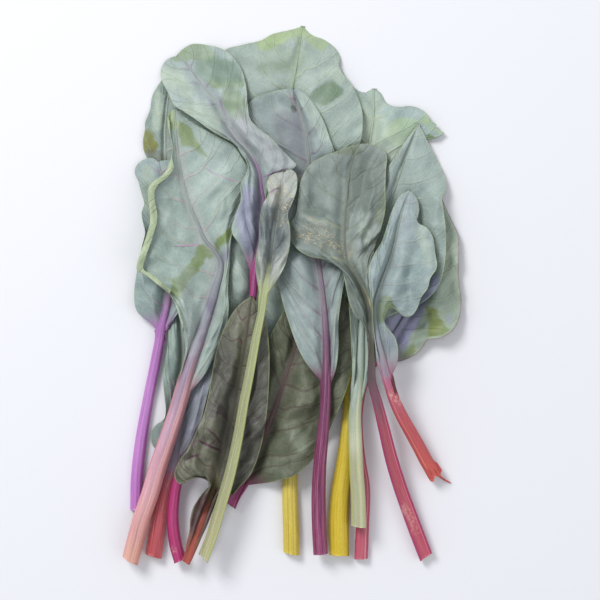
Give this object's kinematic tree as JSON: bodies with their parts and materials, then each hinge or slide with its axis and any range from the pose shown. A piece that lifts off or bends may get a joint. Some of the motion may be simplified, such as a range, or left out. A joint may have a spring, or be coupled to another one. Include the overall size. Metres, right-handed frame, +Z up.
{
  "type": "swiss chard bunch",
  "caption": "Loose flat bunch of cut Swiss chard leaves with stalks in yellow, lime, pink, red, magenta and purple.",
  "frame": {"origin": "middle of the bunch's outline in plan, at the level of the surface that it lies on", "axes": "+Y from the cut stalk ends towards the leaf tips, +Z up from the surface that the bunch lies on, +X to the right when seen from above with the tips away"},
  "size_m": [0.2274, 0.3617, 0.0301],
  "materials": {
    "leaf_violet_stalk": "fresh leaf with a violet stalk",
    "leaf_pink_stalk": "fresh leaf with a pink stalk",
    "leaf_red_stalk": "fresh leaf with a red stalk",
    "leaf_magenta_stalk": "fresh leaf with a magenta stalk and midrib",
    "leaf_dark": "dark leaf with maroon veins",
    "leaf_lime_stalk": "fresh leaf with a lime stalk",
    "leaf_yellow_stalk": "fresh leaf with a yellow stalk",
    "leaf_purple_stalk": "fresh leaf with a dark purple stalk"
  },
  "bodies": {
    "root": {"leaf_12_coral": "leaf_pink_stalk", "leaf_10_yellow_wide": "leaf_yellow_stalk", "leaf_03_red": "leaf_red_stalk", "leaf_01_violet": "leaf_violet_stalk", "leaf_08_yellow": "leaf_yellow_stalk", "leaf_07_dark_short": "leaf_dark", "leaf_11_pale_lime": "leaf_lime_stalk", "leaf_09_purple": "leaf_purple_stalk", "leaf_02_pink": "leaf_pink_stalk", "leaf_04_magenta": "leaf_magenta_stalk", "leaf_05_dark": "leaf_dark", "leaf_13_crimson": "leaf_red_stalk", "leaf_14_red_bent": "leaf_red_stalk", "leaf_06_lime": "leaf_lime_stalk"}
  },
  "joints": []
}
